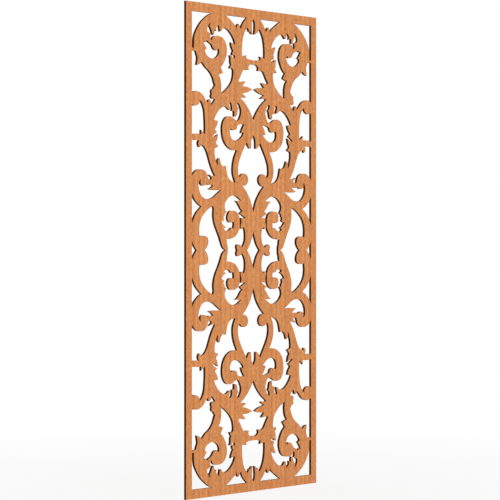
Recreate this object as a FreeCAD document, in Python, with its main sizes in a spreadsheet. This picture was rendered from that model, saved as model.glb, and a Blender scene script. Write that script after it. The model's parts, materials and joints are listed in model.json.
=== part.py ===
"""Fretwork panel: a pierced screen panel of acanthus scrolls in a plain border.

The panel stands upright: X across its width, Y through its thickness with the front at -Y, Z up, and the
origin under the middle of its bottom edge. A core of two stiles, two rails and four scrollwork quarters is
held together by loose tenons and dowels, and each face carries two leaves of veneer that meet on the centre
line.
"""
import FreeCAD, Part
import os

SIZES = {
    "panel_width": 800,
    "panel_height": 2000,
    "panel_thickness": 11.2,
    "veneer_thickness": 0.6,
    "stile_width": 34,
    "rail_height": 37.5,
    "tenon_length": 30,
    "tenon_height": 22,
    "tenon_thickness": 3,
    "dowel_diameter": 4,
    "dowel_length": 24,
    "side_clearance": 0.05,
    "end_clearance": 0.5,
}

# Sizes that follow from the sheet, as expressions
CORE_THICKNESS = "(sizes.panel_thickness - 2 * sizes.veneer_thickness)"
HALF_WIDTH = "(sizes.panel_width / 2)"
HALF_HEIGHT = "(sizes.panel_height / 2)"
OPENING_HALF_WIDTH = f"({HALF_WIDTH} - sizes.stile_width)"
OPENING_HALF_HEIGHT = f"({HALF_HEIGHT} - sizes.rail_height)"

# The scrollwork is drawn once, as the upper right quarter of the opening inside the border, in (across, up)
# pairs measured from the middle of the panel. The drawing is stretched to fill the opening.
# A path is a start point and its runs from one sharp corner to the next: a run of one further point is a
# straight line, of two an arc through the first, and of more a smooth curve through them all.

# Bays that break into the centre line, upwards
WAIST_DIAMOND = [
    (39, 0),
    [(28.5, 13), (20.5, 24.5), (13.5, 39), (9, 51), (5, 62.5), (0, 80)],
]
VASE = [
    (0, 157),
    [(8, 180), (18, 206), (31, 226.5), (43, 243), (56, 256), (66.5, 266)],
    [(48.5, 268.5), (37.5, 277), (32.5, 291), (35, 304), (44, 313.5), (57, 317.5), (69, 315), (77, 309),
     (81, 301)],
    [(90, 309), (94.5, 328), (93, 348), (86.5, 369), (75.5, 392), (62.5, 413.5), (52, 431), (43, 446)],
    [(37, 441), (32.5, 433), (26.5, 425.5), (20, 422), (14, 423)],
    [(13.5, 445), (11, 460), (6, 469), (0, 479)],
]
LEAF_DART = [
    (0, 539),
    [(19.5, 572.5), (36, 593), (53.5, 610), (69, 622), (79, 629)],
    [(68, 632.5), (58, 631), (44, 634)],
    [(58, 641.5), (67, 646)],
    [(52.5, 650), (37.5, 653.5), (19.5, 661), (7, 668)],
    [(20, 672), (36, 676), (52, 677), (67, 677.5)],
    [(62.5, 682.5), (56.5, 688.5), (49, 696)],
    [(72, 695), (87, 695), (91.5, 700)],
    [(82, 712.5), (72, 729), (62, 743), (54, 747.5), (43, 747), (26.5, 749)],
    [(29.5, 761), (23, 767.5), (12, 771), (0, 771)],
]
TOP_WINDOW = [
    (0, 788.5),
    [(20, 790), (35, 792), (43.5, 795), (43.5, 800), (33, 808)],
    [(50, 805), (60, 803), (69, 801)],
    [(70, 818), (69.5, 840), (65.5, 868), (59, 890), (49, 908), (37, 921)],
    [(32, 917), (28.5, 912), (27.5, 905.5)],
    [(23, 907), (17.5, 903), (12, 898), (5.5, 896.5)],
    [(8, 906), (9, 921), (9.5, 937), (7.5, 949), (0, 960)],
]

# Bays against the rail, outwards
TOP_TRIANGLE = [
    (38.5, 962.5),
    [(50, 953), (61, 941), (70, 927), (75.5, 913)],
    [(83.5, 921), (87, 929), (94, 933)],
    [(97, 927.5), (100, 920), (102, 910)],
    [(110, 923), (128.5, 937), (148, 950.5), (168, 962.5)],
]
CORNER_SPANDREL = [
    (245, 962.5),
    [(270.5, 954), (289, 941.5), (309.5, 925.5), (326, 907), (340, 887), (350.5, 866), (354.5, 843),
     (354.5, 814)],
    [(366, 814)],
]

# Bays against the stile, downwards
UPPER_SIDE = [
    (366, 802.5),
    [(351, 803)],
    [(342, 800), (339, 791), (334, 781), (334, 768), (338, 746)],
    [(328.5, 748.5), (319.5, 753.5), (312, 762)],
    [(306, 759), (288.5, 742.5), (269, 730), (254.5, 717), (244, 702.5), (236.5, 685), (230, 670)],
    [(237, 662.5), (240.5, 656)],
    [(246, 655), (250.5, 651.5), (252, 645), (250.5, 636), (253.5, 627), (252, 620), (245, 616),
     (229, 615.5)],
    [(237, 605.5), (244, 597.5), (251, 590.5)],
    [(256, 602), (258.5, 609), (264, 612), (269.5, 609), (271.5, 602.5), (275.5, 598)],
    [(284, 606), (294.5, 620), (310, 633), (327.5, 640), (342, 642), (355, 639), (366, 632)],
]
MIDDLE_SIDE = [
    (366, 587),
    [(358, 583.5), (350, 582), (336.5, 584.5), (325, 592.5), (320.5, 608.5)],
    [(311.5, 601.5), (301, 585), (294, 567), (291.5, 547), (289.5, 525), (289, 500), (289.5, 480),
     (292, 466.5)],
    [(297, 474), (302.5, 477.5), (307, 481), (312.5, 487)],
    [(312, 469)],
    [(330, 470.5), (348, 469.5), (366, 466)],
]
LOWER_SIDE = [
    (366, 443),
    [(323.5, 444.5)],
    [(328, 439), (330, 432), (328.5, 423.5), (320.5, 416)],
    [(317, 423), (321.5, 428.5)],
    [(311, 426.5), (298, 421.5), (284, 408), (274, 390.5), (263, 362.5), (251.5, 337), (241.5, 319),
     (230, 303.5)],
    [(240, 302), (252, 303), (266, 307)],
    [(258, 300), (252, 295), (250.5, 290.5)],
    [(256, 287.5), (265, 286.5), (271, 288.5), (274, 296), (277, 305), (284.5, 316.5), (298.5, 325),
     (317, 327.5), (334, 325.5), (347.5, 318.5), (356.5, 310), (366, 298)],
]
STILE_TRIANGLE = [
    (366, 231),
    [(359, 217), (346, 201), (329, 186.5), (310.5, 177)],
    [(323.5, 166), (339, 152.5), (350.5, 136.5), (359, 120.5), (366, 107)],
]
STILE_NOTCH = [
    (366, 37),
    [(358, 24.5), (350.5, 14), (338, 0)],
]

# Bays that break into the waist line, inwards
WAIST_BAY = [
    (291.5, 0),
    [(281.5, 9.5), (274, 21), (270.5, 36), (274.5, 50), (286, 57), (302, 59), (314, 57), (321, 54.5)],
    [(323.5, 72), (323, 96), (316, 120.5), (302.5, 140.5), (284.5, 157), (265.5, 170), (243, 180.5)],
    [(238, 168), (239.5, 146), (236.5, 122), (228.5, 98.5), (216, 76), (204, 53), (195, 32), (189, 18.5),
     (166, 0)],
]
VOLUTE_BAY = [
    (156, 0),
    [(155.5, 12), (160, 28), (160.5, 38), (166, 45)],
    [(150, 45.5), (132.5, 48.5), (116, 54.5), (101.5, 65), (91, 79), (85.5, 91.5), (83.5, 102), (83.5, 113),
     (84, 126), (87.5, 141), (97, 153.5), (112.5, 161.5), (131, 163), (145.5, 159), (153.5, 148.5),
     (157, 135), (154, 122.5), (144.5, 115), (131, 114.5), (122, 117.5)],
    [(118.5, 111), (118.5, 102), (121.5, 90.5)],
    [(129.5, 91), (135.5, 93)],
    [(143, 85), (152.5, 79.5), (162, 78.5), (173, 82), (177.5, 88)],
    [(172.5, 91), (166, 94.5)],
    [(177.5, 99.5), (187, 108), (193.5, 118)],
    [(184, 119.5), (176, 124.5)],
    [(180, 132), (178.5, 139), (173.5, 142)],
    [(174, 148), (172.5, 151.5)],
    [(168.5, 153.5), (162.5, 157)],
    [(172.5, 170), (174, 184), (168.5, 197.5), (159.5, 208), (145.5, 218), (129, 224), (113, 224.5),
     (98, 220), (82, 210), (72, 205)],
    [(98, 204), (114, 203.5)],
    [(100, 198), (89, 187), (79, 173), (67, 163)],
    [(76, 156.5), (83, 150)],
    [(67, 144.5), (57.5, 139), (49, 134)],
    [(56, 132.5), (66, 134), (75, 133.5)],
    [(74.5, 126), (73.5, 114), (77, 105), (78.5, 100), (75.5, 90)],
    [(67.5, 89), (62.5, 97)],
    [(55.5, 90), (50.5, 75), (49.5, 58), (51.5, 40), (57.5, 25.5), (70, 12)],
    [(77, 18.5), (87, 23), (97, 24), (102, 17), (102, 10), (97.5, 0)],
]

# Openings with scrollwork all round
VOLUTE_EYE = [
    (298, 846),
    [(291, 846), (286, 843.5)],
    [(283, 849.5), (276, 849), (268, 843.5), (255.5, 838), (245.5, 827), (239, 818.5), (230, 814.5),
     (219, 813.5)],
    [(214, 820.5), (211, 823)],
    [(207.5, 818), (206.5, 808), (213.5, 793.5), (225.5, 784), (242, 779), (258, 780), (273, 786),
     (285, 796.5), (291, 807)],
    [(288, 811.5), (276, 816.5)],
    [(282, 820), (289, 828), (294.5, 836.5), (298, 846)],
]
CRESCENT = [
    (196, 640),
    [(187, 642.5), (178, 648.5), (165, 657), (153, 667), (142.5, 677.5), (132, 691), (125, 707), (122, 724),
     (122, 738), (126.5, 745.5), (134, 748), (141.5, 745)],
    [(141.5, 752), (137, 758), (133.5, 763)],
    [(138, 769), (138.5, 778), (139, 787), (144.5, 799.5)],
    [(138, 799.5), (130, 796), (126, 791), (117, 790), (111.5, 792.5), (112, 798), (116.5, 801.5),
     (122, 801.5), (127.5, 801)],
    [(128.5, 807), (127, 813), (122, 818)],
    [(129, 829), (134, 840), (137, 853)],
    [(124, 848), (111.5, 846.5)],
    [(114, 858), (127, 879.5), (145.5, 897.5), (163.5, 907), (180.5, 909)],
    [(186, 905), (190.5, 899.5), (195, 894), (201, 893), (203, 898), (205.5, 908), (206, 921)],
    [(215.5, 914.5), (222, 908), (221, 893)],
    [(226, 892.5)],
    [(230.5, 896.5), (233.5, 896), (236, 890), (240.5, 875)],
    [(248, 883), (252, 892), (256, 901), (263, 910), (260.5, 916.5), (255.5, 924.5)],
    [(267, 916.5), (273, 908), (277, 899), (276.5, 889), (271, 884), (255.5, 878.5)],
    [(259, 870), (260, 863), (252, 852)],
    [(247, 861), (242, 868.5)],
    [(228.5, 873), (209, 873), (190, 869), (175, 859), (165, 842.5), (160.5, 822), (163, 799), (172, 777.5),
     (185.5, 757.5), (198.5, 747.5)],
    [(193.5, 739.5), (183, 725.5)],
    [(194, 720), (211, 716)],
    [(203.5, 706), (197.5, 692), (194.5, 675), (194.5, 657), (196, 640)],
]
SCROLL_EYE = [
    (314, 288),
    [(321.5, 282.5), (326, 274), (328, 263), (325.5, 247), (318.5, 231), (306.5, 217.5), (293, 210),
     (277, 208), (258, 209.5), (236.5, 218), (214.5, 233), (193, 245)],
    [(215, 245), (238, 244.5), (257, 246), (271, 249.5)],
    [(257.5, 252.5), (248, 258.5), (242, 264.5)],
    [(254, 266), (264, 265), (273, 266.5), (279, 271)],
    [(286, 264.5), (298, 261), (308, 262.5), (315, 269), (316, 277), (314, 288)],
]
LEAF_BAY = [
    (109, 278.5),
    [(117, 296), (122, 309), (125, 330), (123, 352), (116, 378), (104.5, 402), (100, 409)],
    [(105, 412)],
    [(116, 411), (130.5, 412.5), (147.5, 419), (163.5, 430), (176.5, 446), (185, 465.5), (188.5, 490),
     (186, 516), (178, 532.5), (166, 544.5), (146, 549.5), (125.5, 545.5), (110, 536), (100, 532.5)],
    [(89, 537), (78.5, 554), (74, 573), (80, 592), (89, 604.5), (100, 608)],
    [(101, 600), (90, 584.5)],
    [(95.5, 577), (98, 566), (102, 554), (109, 550), (116, 549)],
    [(117, 571)],
    [(124, 572.5), (131, 572)],
    [(129, 583), (131.5, 597), (136, 604), (142, 606), (148, 603.5), (147.5, 596), (144, 587), (144, 575)],
    [(151, 577)],
    [(158, 583), (170, 587.5), (186.5, 585), (202, 576), (218, 560.5), (237, 531)],
    [(226, 528.5), (214, 528)],
    [(216, 518), (221, 506.5), (228, 497.5), (231, 489)],
    [(226.5, 487), (219, 480)],
    [(230.5, 475), (246.5, 462)],
    [(238, 460.5), (229, 463.5), (220, 469), (210, 473)],
    [(215.5, 466), (216.5, 457), (221, 447), (225.5, 441.5)],
    [(223.5, 434), (212, 425)],
    [(221.5, 418.5), (230.5, 415.5), (234, 403), (232.5, 386), (227, 367), (223, 355), (215.5, 345)],
    [(214.5, 352), (216, 361), (213.5, 369), (205, 376)],
    [(201, 364), (194.5, 351), (184, 343.5), (166.5, 345)],
    [(163.5, 330), (158, 309.5), (147, 293), (130, 282.5), (109, 278.5)],
]
LEAF_VOLUTE_EYE = [
    (56, 519),
    [(68, 521), (80, 519.5), (93, 515), (99, 510), (101, 501.5), (107.5, 496.5), (119, 493.5),
     (129, 495.5), (135, 501)],
    [(141, 494), (143, 483), (140, 469), (131.5, 457), (116, 452), (98, 453), (80.5, 460.5), (68, 470.5),
     (61, 482), (61.5, 486)],
    [(68, 485.5), (75, 483)],
    [(72.5, 491.5), (67.5, 502.5), (56, 519)],
]

# The drawing ends where its bays meet the stile and the rail
DRAWN_SIDE = UPPER_SIDE[0][0]
DRAWN_TOP = TOP_TRIANGLE[0][1]

CENTRE_BAYS = [WAIST_DIAMOND, VASE, LEAF_DART, TOP_WINDOW]
RAIL_BAYS = [TOP_TRIANGLE, CORNER_SPANDREL]
STILE_BAYS = [UPPER_SIDE, MIDDLE_SIDE, LOWER_SIDE, STILE_TRIANGLE]
WAIST_BAYS = [WAIST_BAY, VOLUTE_BAY]
ISLANDS = [VOLUTE_EYE, CRESCENT, SCROLL_EYE, LEAF_BAY, LEAF_VOLUTE_EYE]

# Dowels stand where the scrollwork touches a stile, a rail or the next quarter, in drawn distances along it
STILE_CONTACTS = [52, 88, 250, 281, 456.5, 600, 620]
RAIL_CONTACTS = [24, 192, 228]
SEAM_CONTACTS = [105, 133, 497, 522, 779]
WAIST_CONTACTS = [55, 84, 161, 305, 327]

ACROSS = FreeCAD.Vector(1, 0, 0)
THROUGH = FreeCAD.Vector(0, 1, 0)
UPWARD = FreeCAD.Vector(0, 0, 1)


def make_sheet(doc):
    """Put the driving dimensions into a spreadsheet, one aliased cell each."""
    sheet = doc.addObject("Spreadsheet::Sheet", "sizes")
    for row, (name, value) in enumerate(SIZES.items(), start=1):
        sheet.set(f"A{row}", name)
        sheet.set(f"B{row}", str(value))
        sheet.setAlias(f"B{row}", name)
    doc.recompute()
    return sheet


def bind(item, **expressions):
    """Tie properties of a document object to sheet expressions."""
    for name, expression in expressions.items():
        item.setExpression(name, expression)


def place(item, across="0", through="0", upward="0"):
    """Tie the base point of an object's placement to sheet expressions."""
    for axis, expression in zip("xyz", (across, through, upward)):
        item.setExpression(f"Placement.Base.{axis}", expression)


def stretched(across=None, upward=None):
    """Expression for a drawn distance once the drawing is stretched to the opening."""
    if upward is None:
        return f"({across} * {OPENING_HALF_WIDTH} / {DRAWN_SIDE})"
    return f"({upward} * {OPENING_HALF_HEIGHT} / {DRAWN_TOP})"


class Drawing:
    """Turns drawn paths into sketch curves at the size of the opening."""

    def __init__(self, sheet):
        self.half_width = sheet.get("panel_width") / 2
        self.half_height = sheet.get("panel_height") / 2
        self.across_scale = (self.half_width - sheet.get("stile_width")) / DRAWN_SIDE
        self.upward_scale = (self.half_height - sheet.get("rail_height")) / DRAWN_TOP

    def outer_corners(self):
        """Drawn points that stretch to the panel's own top and side, past the opening."""
        side = self.half_width / self.across_scale
        top = self.half_height / self.upward_scale
        return [[(0, top)], [(side, top)], [(side, 0)]]

    def point(self, drawn):
        """Place one drawn pair on the sketch."""
        return FreeCAD.Vector(drawn[0] * self.across_scale, drawn[1] * self.upward_scale, 0)

    def curve(self, drawn_points):
        """Line, arc or smooth curve through the points of one run."""
        points = [self.point(drawn) for drawn in drawn_points]
        if len(points) == 2:
            return Part.LineSegment(*points)
        if len(points) == 3:
            return Part.Arc(*points)
        spline = Part.BSplineCurve()
        spline.interpolate(points)
        return spline

    def outline(self, paths):
        """Curves of one closed outline: the paths in turn, joined by straight lines."""
        curves = []
        here = paths[0][0]
        for start, *runs in paths + [[paths[0][0]]]:
            if start != here:
                curves.append(self.curve([here, start]))
                here = start
            for run in runs:
                curves.append(self.curve([here] + run))
                here = run[-1]
        return curves


def padded_body(doc, name, curves, thickness, side):
    """Body with a pad of the given outlines, in the upright plane through the middle of the panel."""
    body = doc.addObject("PartDesign::Body", name)
    place(body, upward=HALF_HEIGHT)
    sketch = body.newObject("Sketcher::SketchObject", f"{name}_outline")
    sketch.AttachmentSupport = (origin_plane(body, "XZ_Plane"), "")
    sketch.MapMode = "FlatFace"
    sketch.addGeometry(curves, False)
    pad = body.newObject("PartDesign::Pad", f"{name}_pad")
    pad.Profile = sketch
    pad.SideType = side
    bind(pad, Length=thickness)
    return body


def origin_plane(body, role):
    """One of the body's own origin planes."""
    return next(feature for feature in body.Origin.OriginFeatures if feature.Role == role)


def box(doc, name, length, width, height):
    """Block with its sizes tied to the sheet."""
    block = doc.addObject("Part::Box", name)
    bind(block, Length=length, Width=width, Height=height)
    return block


def grouped(doc, name, members):
    """Several separate solids as one object."""
    group = doc.addObject("Part::Compound", name)
    group.Links = members
    return group


def cut(doc, name, base, tools):
    """Piece left when the tools are taken out of the base."""
    piece = doc.addObject("Part::Cut", name)
    piece.Base = base
    piece.Tool = grouped(doc, f"{name}_cuts", tools)
    return piece


def mirrored(doc, name, source, normal):
    """Mirror image of a piece in the plane through the middle of the panel."""
    twin = doc.addObject("Part::Mirroring", name)
    twin.Source = source
    twin.Normal = normal
    twin.setExpression("Base.z", HALF_HEIGHT)
    return twin


def rods(doc, name, stations, axis, radius, length):
    """Group of rods, each centred on its station (across, upward) and lying along the axis."""
    members = []
    for number, (across, upward) in enumerate(stations, start=1):
        rod = doc.addObject("Part::Cylinder", f"{name}_{number}")
        bind(rod, Radius=radius, Height=length)
        rod.Placement = FreeCAD.Placement(FreeCAD.Vector(), FreeCAD.Rotation(UPWARD, axis))
        if axis == ACROSS:
            place(rod, across=f"{across} - {length} / 2", upward=upward)
        else:
            place(rod, across=across, upward=f"{upward} - {length} / 2")
        members.append(rod)
    return grouped(doc, name, members)


def both_ways(spots):
    """Drawn distances and their mirror images."""
    return [sign * spot for sign in (1, -1) for spot in spots]


def dowel_stations():
    """Where each group of dowels stands, as expressions, and the way its dowels lie."""
    sides = [f"{HALF_HEIGHT} + {stretched(upward=spot)}" for spot in both_ways(STILE_CONTACTS)]
    seams = [f"{HALF_HEIGHT} + {stretched(upward=spot)}" for spot in both_ways(SEAM_CONTACTS)]
    rails = [stretched(across=spot) for spot in both_ways(RAIL_CONTACTS)]
    waists = [stretched(across=spot) for spot in both_ways(WAIST_CONTACTS)]
    return {
        "left_stile": ([(f"-{OPENING_HALF_WIDTH}", upward) for upward in sides], ACROSS),
        "right_stile": ([(OPENING_HALF_WIDTH, upward) for upward in sides], ACROSS),
        "top_rail": ([(across, f"{HALF_HEIGHT} + {OPENING_HALF_HEIGHT}") for across in rails], UPWARD),
        "bottom_rail": ([(across, "sizes.rail_height") for across in rails], UPWARD),
        "centre_seam": ([("0", upward) for upward in seams], ACROSS),
        "waist": ([(across, HALF_HEIGHT) for across in waists], UPWARD),
    }


def make_dowels(doc):
    """Dowel groups and the bores that take them, half in each of the two pieces that meet."""
    dowels = {}
    bores = {}
    for line, (stations, axis) in dowel_stations().items():
        dowels[f"{line}_dowels"] = rods(
            doc, f"{line}_dowels", stations, axis, "sizes.dowel_diameter / 2", "sizes.dowel_length")
        bores[line] = rods(
            doc, f"{line}_bores", stations, axis, "sizes.dowel_diameter / 2 + sizes.side_clearance",
            "(sizes.dowel_length + 2 * sizes.end_clearance)")
    return dowels, bores


def make_tenon(doc, name, side_gap, end_gap):
    """Loose tenon, or its mortise when the gaps are not zero, across the upper right corner joint."""
    length = f"(sizes.tenon_length + 2 * {end_gap})"
    thickness = f"(sizes.tenon_thickness + 2 * {side_gap})"
    height = f"(sizes.tenon_height + 2 * {side_gap})"
    tenon = box(doc, name, length, thickness, height)
    place(
        tenon,
        across=f"{OPENING_HALF_WIDTH} - {length} / 2",
        through=f"-{thickness} / 2",
        upward=f"sizes.panel_height - sizes.rail_height / 2 - {height} / 2",
    )
    return tenon


def make_tenons(doc):
    """The four loose tenons, and the mortises at the right stile and at the top rail."""
    top_right = make_tenon(doc, "top_right_tenon", "0", "0")
    top_left = mirrored(doc, "top_left_tenon", top_right, ACROSS)
    tenons = {
        "top_right_tenon": top_right,
        "top_left_tenon": top_left,
        "bottom_right_tenon": mirrored(doc, "bottom_right_tenon", top_right, UPWARD),
        "bottom_left_tenon": mirrored(doc, "bottom_left_tenon", top_left, UPWARD),
    }
    mortise = make_tenon(doc, "top_right_mortise", "sizes.side_clearance", "sizes.end_clearance")
    stile_mortises = [mortise, mirrored(doc, "bottom_right_mortise", mortise, UPWARD)]
    rail_mortises = [mortise, mirrored(doc, "top_left_mortise", mortise, ACROSS)]
    return tenons, stile_mortises, rail_mortises


def make_border(doc, bores, stile_mortises, rail_mortises):
    """Stiles the full height of the panel, and rails between them."""
    stile = box(doc, "stile_blank", "sizes.stile_width", CORE_THICKNESS, "sizes.panel_height")
    place(stile, across=OPENING_HALF_WIDTH, through=f"-{CORE_THICKNESS} / 2")
    rail = box(doc, "rail_blank", f"2 * {OPENING_HALF_WIDTH}", CORE_THICKNESS, "sizes.rail_height")
    place(
        rail,
        across=f"-{OPENING_HALF_WIDTH}",
        through=f"-{CORE_THICKNESS} / 2",
        upward="sizes.panel_height - sizes.rail_height",
    )
    right_stile = cut(doc, "right_stile", stile, stile_mortises + [bores["right_stile"]])
    top_rail = cut(doc, "top_rail", rail, rail_mortises + [bores["top_rail"]])
    return {
        "right_stile": right_stile,
        "left_stile": mirrored(doc, "left_stile", right_stile, ACROSS),
        "top_rail": top_rail,
        "bottom_rail": mirrored(doc, "bottom_rail", top_rail, UPWARD),
    }


def make_frets(doc, drawing, bores):
    """The four scrollwork quarters: one is cut out and bored, the others are its mirror images."""
    edge = CENTRE_BAYS + [[(0, DRAWN_TOP)]] + RAIL_BAYS + STILE_BAYS + [STILE_NOTCH] + WAIST_BAYS
    curves = drawing.outline(edge)
    for island in ISLANDS:
        curves += drawing.outline([island])
    board = padded_body(doc, "fret_board", curves, CORE_THICKNESS, "Symmetric")
    joints = [bores[line] for line in ("right_stile", "top_rail", "centre_seam", "waist")]
    upper_right = cut(doc, "upper_right_fret", board, joints)
    upper_left = mirrored(doc, "upper_left_fret", upper_right, ACROSS)
    return {
        "upper_right_fret": upper_right,
        "upper_left_fret": upper_left,
        "lower_right_fret": mirrored(doc, "lower_right_fret", upper_right, UPWARD),
        "lower_left_fret": mirrored(doc, "lower_left_fret", upper_left, UPWARD),
    }


def make_veneers(doc, drawing):
    """Two leaves on each face: half of one is drawn and mirrored, and the leaf gives the others."""
    notch_foot = [(DRAWN_SIDE, 0)]
    corner = [(DRAWN_SIDE, DRAWN_TOP)]
    edge = CENTRE_BAYS + drawing.outer_corners() + [notch_foot, STILE_NOTCH] + WAIST_BAYS
    curves = drawing.outline(edge)
    for bay in [[TOP_TRIANGLE], [CORNER_SPANDREL, corner]] + [[bay] for bay in STILE_BAYS + ISLANDS]:
        curves += drawing.outline(bay)
    leaf = padded_body(doc, "front_right_veneer", curves, "sizes.veneer_thickness", "One side")
    place(leaf, through=f"-{CORE_THICKNESS} / 2", upward=HALF_HEIGHT)
    lower_half = leaf.newObject("PartDesign::Mirrored", "leaf_lower_half")
    lower_half.Originals = [leaf.Tip]
    lower_half.MirrorPlane = (origin_plane(leaf, "XY_Plane"), [""])
    leaf.Tip = lower_half
    front_left = mirrored(doc, "front_left_veneer", leaf, ACROSS)
    return {
        "front_right_veneer": leaf,
        "front_left_veneer": front_left,
        "back_right_veneer": mirrored(doc, "back_right_veneer", leaf, THROUGH),
        "back_left_veneer": mirrored(doc, "back_left_veneer", front_left, THROUGH),
    }


def check(doc, pieces):
    """Stop if any object failed, or any piece is missing, invalid or in the wrong number of solids."""
    for item in doc.Objects:
        if "Invalid" in item.State or "Error" in item.State:
            raise RuntimeError(f"{item.Label} failed: {item.State}")
    for name, piece in pieces.items():
        shape = piece.Shape
        if shape.isNull() or not shape.isValid():
            raise RuntimeError(f"{name} has no valid shape")
        expected = len(piece.Links) if name.endswith("dowels") else 1
        if len(shape.Solids) != expected:
            raise RuntimeError(f"{name} has {len(shape.Solids)} solids, not {expected}")


def main():
    """Build the document, check it and write one file for each piece."""
    doc = FreeCAD.newDocument("fretwork_panel")
    sheet = make_sheet(doc)
    drawing = Drawing(sheet)
    dowels, bores = make_dowels(doc)
    tenons, stile_mortises, rail_mortises = make_tenons(doc)
    pieces = {
        **make_border(doc, bores, stile_mortises, rail_mortises),
        **make_frets(doc, drawing, bores),
        **make_veneers(doc, drawing),
        **tenons,
        **dowels,
    }
    for name, piece in pieces.items():
        piece.Label = name
    doc.recompute()
    check(doc, pieces)
    os.makedirs("parts", exist_ok=True)
    for name, piece in pieces.items():
        piece.Shape.exportStep(f"parts/{name}.step")
        print(f"{name}: {len(piece.Shape.Solids)} solids, {piece.Shape.Volume:.1f} mm3")


main()
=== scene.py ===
"""Looks of the fretwork panel: ribbon-striped veneer, edges painted dark as shade, a pale floor and the
photo's camera.
"""

import json
import logging
import math
from collections.abc import Iterable
from dataclasses import dataclass
from enum import Enum
from typing import Any

import bpy
import numpy as np
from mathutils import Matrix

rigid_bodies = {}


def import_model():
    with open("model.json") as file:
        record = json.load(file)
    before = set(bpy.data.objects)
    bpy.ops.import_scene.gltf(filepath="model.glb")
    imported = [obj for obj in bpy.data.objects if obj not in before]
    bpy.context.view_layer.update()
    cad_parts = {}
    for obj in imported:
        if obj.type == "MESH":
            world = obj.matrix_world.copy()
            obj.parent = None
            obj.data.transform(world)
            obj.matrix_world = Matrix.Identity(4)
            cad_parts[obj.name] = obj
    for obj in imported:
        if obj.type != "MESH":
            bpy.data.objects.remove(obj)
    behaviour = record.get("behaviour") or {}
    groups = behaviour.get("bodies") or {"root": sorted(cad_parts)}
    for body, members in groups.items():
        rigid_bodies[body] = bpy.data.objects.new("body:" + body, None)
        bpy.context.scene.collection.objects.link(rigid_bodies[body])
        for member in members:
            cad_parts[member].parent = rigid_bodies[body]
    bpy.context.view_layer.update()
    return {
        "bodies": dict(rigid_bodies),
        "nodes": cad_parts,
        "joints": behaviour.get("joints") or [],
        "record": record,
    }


log = logging.getLogger("fretwork_panel")

TURN = 2.0 * math.pi
WHITE = (1.0, 1.0, 1.0, 1.0)
# Noise swings about this value, and so does the tone of the veneer
MIDDLE = 0.5
# A number or socket for each of the panel's axes: across it, through it and up it
Axes = tuple[Any, Any, Any]


class Slot(Enum):
    """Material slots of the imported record, one for each kind of wood in the panel."""

    FACE_VENEER = "face_veneer"
    CORE_WOOD = "core_wood"
    JOINT_WOOD = "joint_wood"


class Op(Enum):
    """Arithmetic that the grain patterns are written in."""

    SUBTRACT = "SUBTRACT"
    MULTIPLY = "MULTIPLY"
    MULTIPLY_ADD = "MULTIPLY_ADD"
    ABSOLUTE = "ABSOLUTE"
    COSINE = "COSINE"
    LESS_THAN = "LESS_THAN"
    MAXIMUM = "MAXIMUM"


@dataclass(frozen=True)
class Tone:
    """A colour as the eye names it, in display values from 0 to 255."""

    red: float
    green: float
    blue: float

    def linear(self) -> tuple[float, float, float, float]:
        """Scene-linear colour with full alpha.

        Returns:
            The tone by the display curve: v / 12.92 in the darks, else ((v + 0.055) / 1.055) ** 2.4.
        """
        shown = np.array([self.red, self.green, self.blue]) / 255.0
        light = np.where(shown <= 0.04045, shown / 12.92, ((shown + 0.055) / 1.055) ** 2.4)
        return (*map(float, light), 1.0)


@dataclass(frozen=True)
class Grain:
    """Noise drawn out along the wood: features to the metre each way, octaves, their weight, and strength.

    The features through the thickness are close together by default, so that front and back leaf differ.
    """

    across: float
    upward: float
    detail: float
    roughness: float
    strength: float = 1.0
    through: float = 200.0


@dataclass(frozen=True)
class Span:
    """Range of a pattern that is read, and the range that it is stretched to."""

    low: float
    high: float
    out_low: float
    out_high: float


@dataclass(frozen=True)
class Relief:
    """Fine relief of a surface: how strongly it shows, and its depth in metres."""

    strength: float
    depth: float


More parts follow.
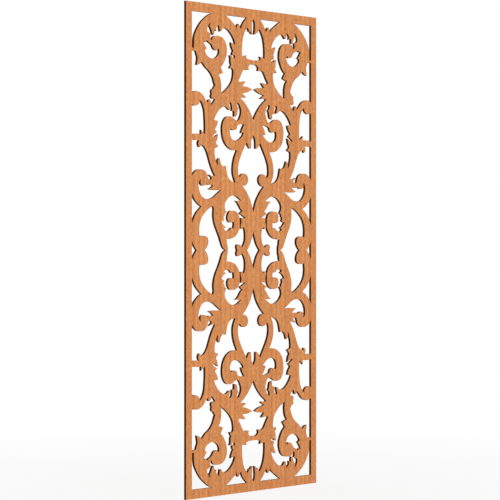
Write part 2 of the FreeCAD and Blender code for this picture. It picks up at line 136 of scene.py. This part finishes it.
class Graph:
    """Short hand for the node tree of a material or of the world."""

    def __init__(self, owner: bpy.types.Material | bpy.types.World) -> None:
        """Empty the tree and give it its output.

        Args:
            owner: The material or world that the tree belongs to.
        """
        owner.use_nodes = True
        self.owner = owner
        self.tree = owner.node_tree
        self.tree.nodes.clear()
        is_world = isinstance(owner, bpy.types.World)
        self.output = self.node("ShaderNodeOutputWorld" if is_world else "ShaderNodeOutputMaterial")

    def node(self, kind: str, **inputs: Any) -> bpy.types.Node:
        """Add a node and fill its inputs.

        Args:
            kind: Blender's name of the node type.
            inputs: Values or sockets by input name, with spaces written as underscores.

        Returns:
            The new node.
        """
        made = self.tree.nodes.new(kind)
        for name, value in inputs.items():
            self.feed(made.inputs[name.replace("_", " ")], value)
        return made

    def feed(self, socket: bpy.types.NodeSocket, value: Any) -> None:
        """Link an input to a socket, or set the input's own value.

        Args:
            socket: The input to fill.
            value: An output socket, or a plain value.
        """
        if isinstance(value, bpy.types.NodeSocket):
            self.tree.links.new(value, socket)
        else:
            socket.default_value = value

    def feed_all(self, sockets: Iterable[bpy.types.NodeSocket], values: Iterable[Any]) -> None:
        """Fill inputs in order."""
        for socket, value in zip(sockets, values):
            self.feed(socket, value)

    def math(self, op: Op, *values: Any) -> bpy.types.NodeSocket:
        """Arithmetic on one to three numbers.

        Args:
            op: What to work out.
            values: The numbers or sockets that it works on, in order.

        Returns:
            The socket with the result.
        """
        made = self.node("ShaderNodeMath")
        made.operation = op.value
        self.feed_all(made.inputs, values)
        return made.outputs[0]

    def object_place(self) -> bpy.types.NodeSocket:
        """Object coordinates in metres, which are the panel's own X, Y and Z."""
        return self.node("ShaderNodeTexCoord").outputs["Object"]

    def split(self, vector: Any) -> Axes:
        """The three numbers of a vector."""
        parts = self.node("ShaderNodeSeparateXYZ", Vector=vector).outputs
        return parts[0], parts[1], parts[2]

    def grain(self, grain: Grain, axes: Axes) -> bpy.types.NodeSocket:
        """Noise read at each axis times the grain's features to the metre along it.

        Args:
            grain: How close and how rough the pattern is.
            axes: Where it is read, in metres.

        Returns:
            The socket with the pattern's value, around the middle.
        """
        closeness = (grain.across, grain.through, grain.upward)
        scaled = [self.math(Op.MULTIPLY, axis, close) for axis, close in zip(axes, closeness)]
        where = self.node("ShaderNodeCombineXYZ")
        self.feed_all(where.inputs, scaled)
        made = self.node(
            "ShaderNodeTexNoise", Vector=where.outputs[0], Scale=1.0, Detail=grain.detail,
            Roughness=grain.roughness)
        return made.outputs[0]

    def sway(self, value: Any, pattern: Any, strength: float) -> bpy.types.NodeSocket:
        """A value moved up and down by a pattern, which swings about the middle."""
        swing = self.math(Op.SUBTRACT, pattern, MIDDLE)
        return self.math(Op.MULTIPLY_ADD, swing, strength, value)

    def spread(self, value: Any, span: Span) -> bpy.types.NodeSocket:
        """Stretch a range of values to another range and stop at its ends.

        Args:
            value: The socket to stretch.
            span: The range that is read and the range that comes out.

        Returns:
            The socket with the stretched value.
        """
        made = self.node(
            "ShaderNodeMapRange", Value=value, From_Min=span.low, From_Max=span.high,
            To_Min=span.out_low, To_Max=span.out_high)
        return made.outputs[0]

    def blend(self, share: Any, first: Any, second: Any) -> bpy.types.NodeSocket:
        """Mix two colours.

        Args:
            share: How much of the second colour shows.
            first: Colour at share zero.
            second: Colour at share one.

        Returns:
            The socket with the mixed colour.
        """
        made = self.node("ShaderNodeMix")
        made.data_type = "RGBA"
        self.feed_all([socket for socket in made.inputs if socket.enabled], (share, first, second))
        return next(socket for socket in made.outputs if socket.enabled)

    def bump(self, relief: Relief, height: Any) -> bpy.types.NodeSocket:
        """Surface normal tilted by a height pattern."""
        made = self.node("ShaderNodeBump", Strength=relief.strength, Distance=relief.depth, Height=height)
        return made.outputs[0]

    def shown(self) -> bpy.types.NodeSocket:
        """Share that is one for rays that show a thing: to the camera, in gloss and through glass.

        Returns:
            The socket with the share, which is zero for the rays that light the panel.
        """
        rays = self.node("ShaderNodeLightPath").outputs
        share = rays["Is Camera Ray"]
        for name in ("Is Glossy Ray", "Is Transmission Ray"):
            share = self.math(Op.MAXIMUM, share, rays[name])
        return share

    def finish(self, shader: bpy.types.Node) -> Any:
        """Join the shader to the output and give back the tree's owner."""
        self.feed(self.output.inputs["Surface"], shader.outputs[0])
        return self.owner


@dataclass(frozen=True)
class VeneerFinish:
    """Satin ribbon-striped veneer, matched leaf to leaf on the centre line. Lengths are in metres."""

    pale: Tone = Tone(236, 161, 89)
    body: Tone = Tone(214, 133, 54)
    deep: Tone = Tone(190, 103, 24)
    rosy: Tone = Tone(198, 137, 98)
    pore: Tone = Tone(146, 76, 24)
    # Painted shade: the dark brown that the veneer's sideways-facing edges are painted with
    painted_edge_shade: Tone = Tone(68, 35, 10)
    deep_at: float = 0.18
    pale_at: float = 0.82
    ribbon_group: float = 0.156
    ribbons: tuple[tuple[int, float], ...] = ((1, 0.05), (2, 0.04), (3, -0.04), (5, 0.09), (6, 0.08))
    drift: Grain = Grain(2.8, 1.4, 2.0, 0.5, 0.003)
    lines: Grain = Grain(200.0, 4.0, 5.0, 0.6, 0.80)
    fibres: Grain = Grain(1440.0, 16.0, 3.0, 0.7, 0.90)
    mottle: Grain = Grain(200.0, 70.0, 2.0, 0.6, 1.80)
    patch: Grain = Grain(6.0, 3.0, 2.0, 0.5, 0.30)
    flush: Grain = Grain(110.0, 8.0, 4.0, 0.7)
    flush_share: Span = Span(0.34, 0.66, 0.0, 0.75)
    pores: Grain = Grain(2640.0, 120.0, 1.0, 0.5)
    pore_share: Span = Span(0.60, 0.72, 0.0, 0.60)
    fibre_height: float = 0.6
    relief: Relief = Relief(0.35, 0.0002)
    roughness: Span = Span(0.3, 0.7, 0.42, 0.58)
    specular: float = 0.3
    lacquer: float = 0.06
    lacquer_roughness: float = 0.3
    edge_facing: float = 0.5

    def material(self) -> bpy.types.Material:
        """Build the veneer.

        Stripes and grain are read on the distance from the centre line, so that the two leaves mirror each
        other. Where the surface faces sideways it is the leaf's edge, painted dark as shade.

        Returns:
            The material.
        """
        graph = Graph(bpy.data.materials.new(Slot.FACE_VENEER.value))
        across, through, upward = graph.split(graph.object_place())
        mirrored = graph.math(Op.ABSOLUTE, across)
        drift = graph.grain(self.drift, (mirrored, through, upward))
        swayed = graph.sway(mirrored, drift, self.drift.strength)
        leaf = (swayed, through, upward)
        fibres = graph.grain(self.fibres, leaf)
        pitted = graph.spread(graph.grain(self.pores, (across, through, upward)), self.pore_share)

        colour = self.wood(graph, leaf, fibres)
        colour = graph.blend(pitted, colour, self.pore.linear())
        # Painted shade: surfaces that face sideways are painted dark brown in place of the shade on the walls
        facing = graph.split(graph.node("ShaderNodeNewGeometry").outputs["Normal"])[1]
        edge = graph.math(Op.LESS_THAN, graph.math(Op.ABSOLUTE, facing), self.edge_facing)
        colour = graph.blend(edge, colour, self.painted_edge_shade.linear())

        height = graph.math(Op.SUBTRACT, graph.math(Op.MULTIPLY, fibres, self.fibre_height), pitted)
        shader = graph.node(
            "ShaderNodeBsdfPrincipled", Base_Color=colour, Roughness=graph.spread(fibres, self.roughness),
            Normal=graph.bump(self.relief, height), Specular_IOR_Level=self.specular,
            Coat_Weight=self.lacquer, Coat_Roughness=self.lacquer_roughness)
        return graph.finish(shader)

    def wood(self, graph: Graph, leaf: Axes, fibres: Any) -> bpy.types.NodeSocket:
        """Colour of the leaf before its pores.

        The stripes are a short sum of cosines, each with a whole number of ribbons to the group. Lines,
        fibres, mottle and patches are noise drawn out along the height, and so is the rosy flush.

        Args:
            graph: The veneer's node tree.
            leaf: Where the patterns are read.
            fibres: The pattern of the fibres.

        Returns:
            The socket with the colour.
        """
        tone: Any = MIDDLE
        for count, weight in self.ribbons:
            phase = graph.math(Op.MULTIPLY, leaf[0], count * TURN / self.ribbon_group)
            tone = graph.math(Op.MULTIPLY_ADD, graph.math(Op.COSINE, phase), weight, tone)
        tone = graph.sway(tone, fibres, self.fibres.strength)
        for grain in (self.lines, self.mottle, self.patch):
            tone = graph.sway(tone, graph.grain(grain, leaf), grain.strength)
        ramp = graph.node("ShaderNodeValToRGB", Fac=tone)
        self.paint(ramp.color_ramp)
        flushed = graph.spread(graph.grain(self.flush, leaf), self.flush_share)
        return graph.blend(flushed, ramp.outputs[0], self.rosy.linear())

    def paint(self, ramp: bpy.types.ColorRamp) -> None:
        """Set the stops of the wood's colour ramp, deep to pale.

        Args:
            ramp: The ramp to fill.
        """
        deep, pale = ramp.elements
        deep.position = self.deep_at
        deep.color = self.deep.linear()
        pale.position = self.pale_at
        pale.color = self.pale.linear()
        ramp.elements.new(MIDDLE).color = self.body.linear()


@dataclass(frozen=True)
class CutEdgeFinish:
    """Cut edge of the core, painted dark brown as shade, with the cutter's fine marks in it."""

    # Painted shade: both tones of the cut edge are dark browns that stand in for the shade on the walls
    painted_shade_dark: Tone = Tone(48, 23, 5)
    brown: Tone = Tone(90, 47, 13)
    marks: Grain = Grain(900.0, 900.0, 2.0, 0.6, strength=0.6, through=36.0)
    patch: Grain = Grain(35.0, 35.0, 3.0, 0.5, strength=0.6, through=35.0)
    brown_share: Span = Span(0.4, 0.8, 0.0, 1.0)
    relief: Relief = Relief(0.3, 0.0002)
    roughness: Span = Span(0.3, 0.7, 0.7, 0.85)
    specular: float = 0.08

    def material(self) -> bpy.types.Material:
        """Build the cut edge in painted shade: noise drawn out through the thickness gives the cutter's fine
        marks.

        Returns:
            The material.
        """
        graph = Graph(bpy.data.materials.new(Slot.CORE_WOOD.value))
        axes = graph.split(graph.object_place())
        marks = graph.grain(self.marks, axes)
        patch = graph.grain(self.patch, axes)
        share = graph.math(Op.MULTIPLY, patch, self.patch.strength)
        share = graph.math(Op.MULTIPLY_ADD, marks, self.marks.strength, share)
        # Painted shade: the edge's colour runs between the two dark browns of the painted shade
        colour = graph.blend(graph.spread(share, self.brown_share), self.painted_shade_dark.linear(), self.brown.linear())
        shader = graph.node(
            "ShaderNodeBsdfPrincipled", Base_Color=colour, Roughness=graph.spread(patch, self.roughness),
            Normal=graph.bump(self.relief, marks), Specular_IOR_Level=self.specular)
        return graph.finish(shader)


@dataclass(frozen=True)
class BeechFinish:
    """Plain pale beech of the hidden tenons and dowels."""

    pale: Tone = Tone(214, 178, 132)
    fleck: Tone = Tone(168, 122, 78)
    flecks: Grain = Grain(700.0, 700.0, 2.0, 0.6, through=2800.0)
    fleck_share: Span = Span(0.5, 0.75, 0.0, 0.8)
    roughness: Span = Span(0.3, 0.7, 0.55, 0.7)

    def material(self) -> bpy.types.Material:
        """Build the beech: short dark flecks, as noise drawn out along the height and across.

        Returns:
            The material.
        """
        graph = Graph(bpy.data.materials.new(Slot.JOINT_WOOD.value))
        flecks = graph.grain(self.flecks, graph.split(graph.object_place()))
        colour = graph.blend(graph.spread(flecks, self.fleck_share), self.pale.linear(), self.fleck.linear())
        shader = graph.node(
            "ShaderNodeBsdfPrincipled", Base_Color=colour, Roughness=graph.spread(flecks, self.roughness))
        return graph.finish(shader)


@dataclass(frozen=True)
class FloorFinish:
    """Pale floor that reads as white to the camera and keeps a faint shadow round the panel's foot."""

    paper: Tone = Tone(240, 240, 240)
    kept_shadow: float = 0.12
    shadow_from: float = 0.8
    shadow_to: float = 3.0

    def material(self) -> bpy.types.Material:
        """Build the floor: plain white for rays that show it, with a share of matt paper near the panel.

        Returns:
            The material.
        """
        graph = Graph(bpy.data.materials.new("studio_floor"))
        matt = graph.node("ShaderNodeBsdfDiffuse", Color=self.paper.linear())
        white = graph.node("ShaderNodeEmission", Color=WHITE, Strength=1.0)
        away = graph.node("ShaderNodeVectorMath", Vector=graph.object_place())
        away.operation = "LENGTH"
        fading = Span(self.shadow_from, self.shadow_to, 1.0 - self.kept_shadow, 1.0)
        plain = graph.spread(away.outputs["Value"], fading)
        share = graph.math(Op.MULTIPLY, graph.shown(), plain)
        mixed = graph.node("ShaderNodeMixShader")
        graph.feed_all(mixed.inputs, (share, matt.outputs[0], white.outputs[0]))
        return graph.finish(mixed)


@dataclass
class WoodGroup:
    """Pieces of the panel that are made of one wood: the veneer leaves, the core or the hidden joinery."""

    slot: Slot
    finish: VeneerFinish | CutEdgeFinish | BeechFinish

    def members(self, frame: dict[str, Any]) -> list[bpy.types.Object]:
        """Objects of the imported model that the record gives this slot, in the record's order."""
        rows = frame["record"]["subparts"]
        return [frame["nodes"][row["node"]] for row in rows if row["material_slot"] == self.slot.value]

    def dress(self, frame: dict[str, Any]) -> None:
        """Give each member the finish in place of its plain colour.
        """
        material = self.finish.material()
        for piece in self.members(frame):
            piece.data.materials.clear()
            piece.data.materials.append(material)
            log.info("%s: %s", piece.name, self.slot.value)


@dataclass(frozen=True)
class Studio:
    """Pale floor, soft lamps and a white surround. Lengths are in metres."""

    floor_radius: float = 400.0
    floor_hub: float = 0.02
    floor_rings: int = 24
    floor_spokes: int = 96
    floor_drop: float = 0.0002
    floor_finish: FloorFinish = FloorFinish()
    surround: float = 0.50
    lamp_size: float = 1.6
    lamp_power: float = 246.0
    lamp_places: tuple[tuple[float, float, float], ...] = ((-1.5, -7.0, 0.85), (1.5, 7.0, 0.85))
    aim: tuple[float, float, float] = (0.0, 0.0, 1.0)

    def build(self) -> None:
        """Lay the floor, hang the lamps and set the surround."""
        mesh = self.floor_mesh()
        mesh.materials.append(self.floor_finish.material())
        floor = bpy.data.objects.new("studio_floor", mesh)
        bpy.context.scene.collection.objects.link(floor)
        for number, spot in enumerate(self.lamp_places, start=1):
            self.hang_lamp(f"softbox_{number}", np.array(spot))
        self.light_surround()
        log.info("studio: floor, %d lamps and surround", len(self.lamp_places))

    def floor_mesh(self) -> bpy.types.Mesh:
        """Round floor as a polar grid: x = r cos t, y = r sin t, where r grows as the square of the ring.

        Returns:
            The mesh.
        """
        radius = self.floor_radius * np.linspace(self.floor_hub, 1.0, self.floor_rings) ** 2
        angle = np.linspace(0.0, TURN, self.floor_spokes, endpoint=False)
        ring, spoke = np.meshgrid(radius, angle, indexing="ij")
        level = np.full_like(ring, -self.floor_drop)
        rim = np.stack([ring * np.cos(spoke), ring * np.sin(spoke), level], axis=-1)
        points = np.vstack([rim.reshape(-1, 3), [[0.0, 0.0, -self.floor_drop]]])
        index = np.arange(ring.size).reshape(ring.shape)
        onward = np.roll(index, -1, axis=1)
        quads = np.stack([index[:-1], index[1:], onward[1:], onward[:-1]], axis=-1).reshape(-1, 4)
        hub = np.stack([np.full(self.floor_spokes, ring.size), index[0], onward[0]], axis=-1)
        mesh = bpy.data.meshes.new("studio_floor")
        mesh.from_pydata(points.tolist(), [], quads.tolist() + hub.tolist())
        return mesh

    def hang_lamp(self, name: str, spot: np.ndarray) -> None:
        """Square soft lamp turned to the middle of the panel.

        Args:
            name: The lamp's name.
            spot: Where it hangs.
        """
        lamp = bpy.data.lights.new(name, "AREA")
        lamp.shape = "SQUARE"
        lamp.size = self.lamp_size
        lamp.energy = self.lamp_power
        holder = bpy.data.objects.new(name, lamp)
        away = spot - np.array(self.aim)
        level = math.hypot(away[0], away[1])
        holder.location = spot
        holder.rotation_euler = (math.atan2(level, away[2]), 0.0, math.atan2(away[0], -away[1]))
        bpy.context.scene.collection.objects.link(holder)

    def light_surround(self) -> None:
        """World that lights the panel evenly and shows as plain white."""
        graph = Graph(bpy.data.worlds.new("white_surround"))
        strength = graph.spread(graph.shown(), Span(0.0, 1.0, self.surround, 1.0))
        background = graph.node("ShaderNodeBackground", Color=WHITE, Strength=strength)
        bpy.context.scene.world = graph.finish(background)


@dataclass(frozen=True)
class PhotoCamera:
    """The photo's viewpoint: level, half way up the panel, from the front left. Lengths are in metres."""

    spot: tuple[float, float, float] = (-6.057, -5.542, 1.0012)
    tilt_degrees: float = 90.0
    heading_degrees: float = -47.47
    lens_mm: float = 142.3
    sensor_mm: float = 36.0
    sight: float = 1000.0

    def build(self) -> None:
        """Place the camera and make it the scene's own."""
        data = bpy.data.cameras.new("photo_camera")
        data.lens = self.lens_mm
        data.sensor_width = self.sensor_mm
        data.clip_end = self.sight
        camera = bpy.data.objects.new("photo_camera", data)
        camera.location = self.spot
        camera.rotation_euler = (math.radians(self.tilt_degrees), 0.0, math.radians(self.heading_degrees))
        bpy.context.scene.collection.objects.link(camera)
        bpy.context.scene.camera = camera


def main() -> None:
    """Load the panel, dress its woods, and set the studio and the camera."""
    logging.basicConfig(level=logging.INFO)
    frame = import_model()
    bpy.context.scene.view_settings.view_transform = "Standard"
    groups = [
        WoodGroup(Slot.FACE_VENEER, VeneerFinish()),
        WoodGroup(Slot.CORE_WOOD, CutEdgeFinish()),
        WoodGroup(Slot.JOINT_WOOD, BeechFinish()),
    ]
    for group in groups:
        group.dress(frame)
    Studio().build()
    PhotoCamera().build()


if __name__ == "__main__":
    main()
